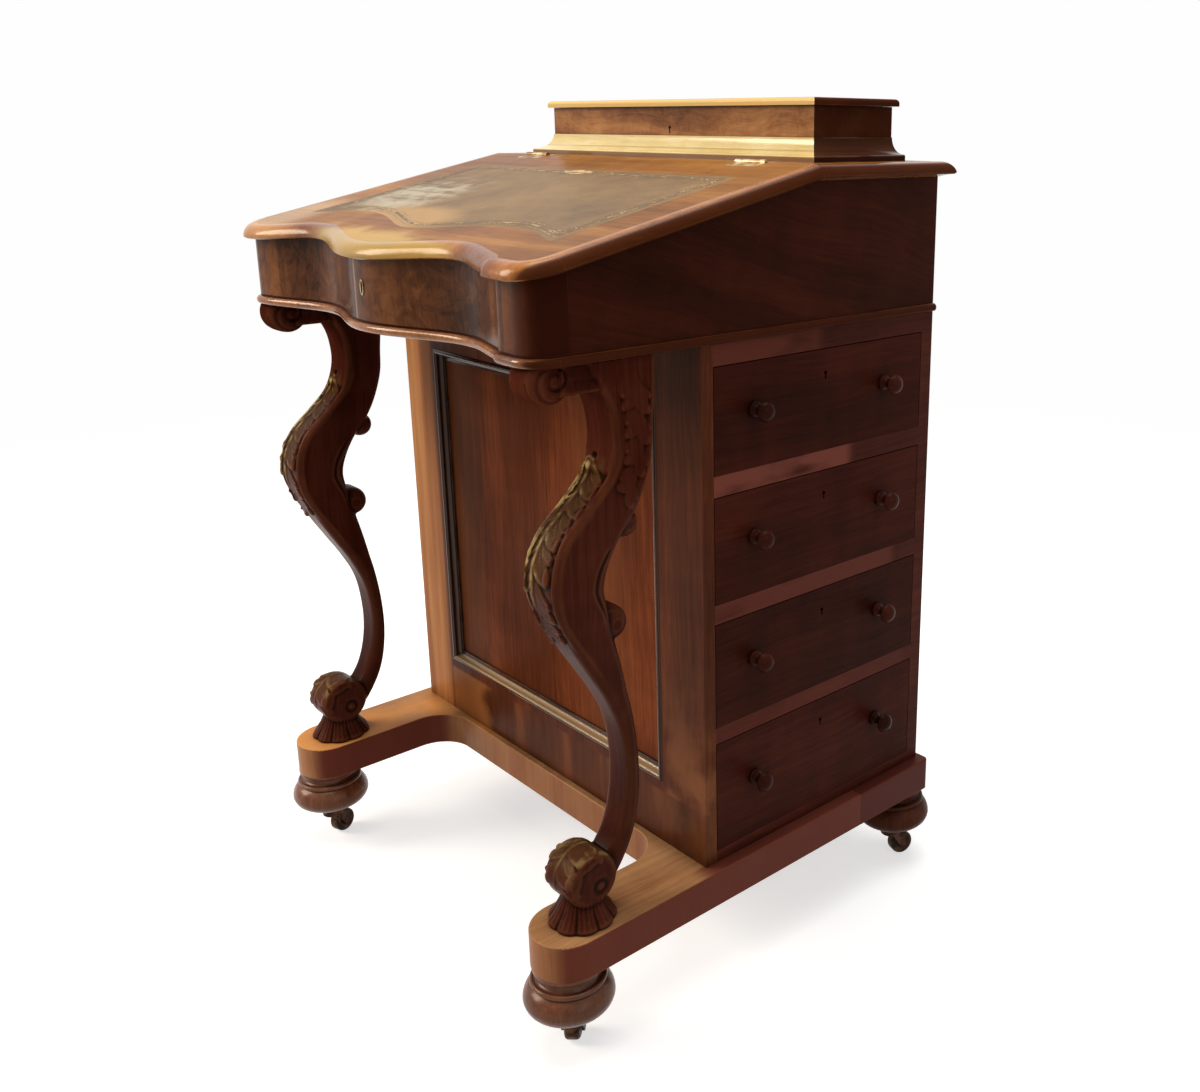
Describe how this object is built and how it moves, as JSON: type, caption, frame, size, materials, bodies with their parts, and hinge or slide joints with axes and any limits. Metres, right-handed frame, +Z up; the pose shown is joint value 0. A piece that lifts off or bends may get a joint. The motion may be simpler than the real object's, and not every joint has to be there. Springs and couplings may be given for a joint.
{
  "type": "davenport desk",
  "caption": "Davenport writing desk in walnut: a serpentine writing box with a sloping leather lid on carved scroll legs, with side drawers, a stationery box, and bun feet on castors",
  "frame": {"origin": "bottom centre: on the floor, in the middle of the desk's width and depth", "axes": "+X towards the side with the real drawers, -Y towards the writer, +Z up"},
  "size_m": [0.554, 0.5146, 0.819],
  "materials": {
    "walnut_dark": "french polished walnut, figured, satin to gloss",
    "walnut_top": "french polished walnut, sun-faded on top, gloss",
    "walnut_panel": "french polished walnut veneer in two bookmatched leaves, satin",
    "walnut_moulding": "polished walnut mouldings, worn paler on the crests",
    "walnut_carved": "carved and polished walnut, dark in the recesses",
    "walnut_turned": "turned and polished walnut",
    "walnut_back": "stained walnut, matt to satin",
    "drawer_lining": "planed pine, unfinished, aged",
    "leather": "aged tan hide, tooled border lines, semi-gloss with wear",
    "brass": "aged brass, satin",
    "dark_brass": "dark patinated brass",
    "castor_wheel": "dark patinated brass roller"
  },
  "bodies": {
    "root": {"back_panel": "walnut_back", "box_bead": "walnut_moulding", "box_escutcheon": "brass", "box_floor": "walnut_dark", "box_front": "walnut_dark", "box_hinge_leaves": "brass", "box_walls": "walnut_dark", "bun_feet": "walnut_turned", "carcass_boards": "walnut_dark", "castor_sockets": "dark_brass", "false_front_knobs": "walnut_turned", "false_fronts": "walnut_dark", "front_frame": "walnut_dark", "front_panel": "walnut_panel", "hinge_pins": "brass", "panel_moulding": "walnut_moulding", "platform": "walnut_dark", "rear_posts": "walnut_back", "scroll_leg_left": "walnut_carved", "scroll_leg_right": "walnut_carved", "shelf": "walnut_top", "shelf_hinge_leaves": "brass", "shelf_moulding": "walnut_moulding", "stationery_moulding": "walnut_moulding", "stationery_walls": "walnut_dark"},
    "castor_fl": {"castor_fork_fl": "dark_brass", "castor_axle_fl": "dark_brass"},
    "wheel_fl": {"castor_wheel_fl": "castor_wheel"},
    "castor_fr": {"castor_fork_fr": "dark_brass", "castor_axle_fr": "dark_brass"},
    "wheel_fr": {"castor_wheel_fr": "castor_wheel"},
    "castor_rl": {"castor_fork_rl": "dark_brass", "castor_axle_rl": "dark_brass"},
    "wheel_rl": {"castor_wheel_rl": "castor_wheel"},
    "castor_rr": {"castor_fork_rr": "dark_brass", "castor_axle_rr": "dark_brass"},
    "wheel_rr": {"castor_wheel_rr": "castor_wheel"},
    "drawer_1": {"drawer_1_front": "walnut_dark", "drawer_1_sides": "drawer_lining", "drawer_1_floor": "drawer_lining", "drawer_1_knobs": "walnut_turned"},
    "drawer_2": {"drawer_2_front": "walnut_dark", "drawer_2_sides": "drawer_lining", "drawer_2_floor": "drawer_lining", "drawer_2_knobs": "walnut_turned"},
    "drawer_3": {"drawer_3_front": "walnut_dark", "drawer_3_sides": "drawer_lining", "drawer_3_floor": "drawer_lining", "drawer_3_knobs": "walnut_turned"},
    "drawer_4": {"drawer_4_front": "walnut_dark", "drawer_4_sides": "drawer_lining", "drawer_4_floor": "drawer_lining", "drawer_4_knobs": "walnut_turned"},
    "writing_lid": {"writing_lid": "walnut_top", "lid_leather": "leather", "lid_moulding": "walnut_moulding", "lid_hinge_leaves": "brass"},
    "stationery_lid": {"stationery_lid": "walnut_top", "stationery_lid_leaves": "brass"}
  },
  "joints": [
    {"name": "writing_lid_hinge", "type": "hinge", "parent": "root", "child": "writing_lid", "pos_m": [0, 0.05875, 0.761], "axis": [-1, 0, 0], "range_deg": [0, 110]},
    {"name": "stationery_lid_hinge", "type": "hinge", "parent": "root", "child": "stationery_lid", "pos_m": [0, 0.21775, 0.809], "axis": [-1, 0, 0], "range_deg": [0, 95]},
    {"name": "drawer_1_slide", "type": "slide", "parent": "root", "child": "drawer_1", "axis": [1, 0, 0], "range_m": [0, 0.34]},
    {"name": "drawer_2_slide", "type": "slide", "parent": "root", "child": "drawer_2", "axis": [1, 0, 0], "range_m": [0, 0.34]},
    {"name": "drawer_3_slide", "type": "slide", "parent": "root", "child": "drawer_3", "axis": [1, 0, 0], "range_m": [0, 0.34]},
    {"name": "drawer_4_slide", "type": "slide", "parent": "root", "child": "drawer_4", "axis": [1, 0, 0], "range_m": [0, 0.34]},
    {"name": "castor_swivel_fl", "type": "hinge", "parent": "root", "child": "castor_fl", "pos_m": [-0.235, -0.21675, 0.05], "axis": [0, 0, 1], "continuous": true},
    {"name": "wheel_roll_fl", "type": "hinge", "parent": "castor_fl", "child": "wheel_fl", "pos_m": [-0.2391, -0.20547, 0.013], "axis": [0.9397, 0.342, 0], "continuous": true},
    {"name": "castor_swivel_fr", "type": "hinge", "parent": "root", "child": "castor_fr", "pos_m": [0.235, -0.21675, 0.05], "axis": [0, 0, 1], "continuous": true},
    {"name": "wheel_roll_fr", "type": "hinge", "parent": "castor_fr", "child": "wheel_fr", "pos_m": [0.22651, -0.20826, 0.013], "axis": [0.7071, 0.7071, 0], "continuous": true},
    {"name": "castor_swivel_rl", "type": "hinge", "parent": "root", "child": "castor_rl", "pos_m": [-0.235, 0.21675, 0.05], "axis": [0, 0, 1], "continuous": true},
    {"name": "wheel_roll_rl", "type": "hinge", "parent": "castor_rl", "child": "wheel_rl", "pos_m": [-0.229, 0.22714, 0.013], "axis": [0.866, -0.5, 0], "continuous": true},
    {"name": "castor_swivel_rr", "type": "hinge", "parent": "root", "child": "castor_rr", "pos_m": [0.235, 0.21675, 0.05], "axis": [0, 0, 1], "continuous": true},
    {"name": "wheel_roll_rr", "type": "hinge", "parent": "castor_rr", "child": "wheel_rr", "pos_m": [0.23871, 0.22816, 0.013], "axis": [0.9511, -0.309, 0], "continuous": true}
  ]
}
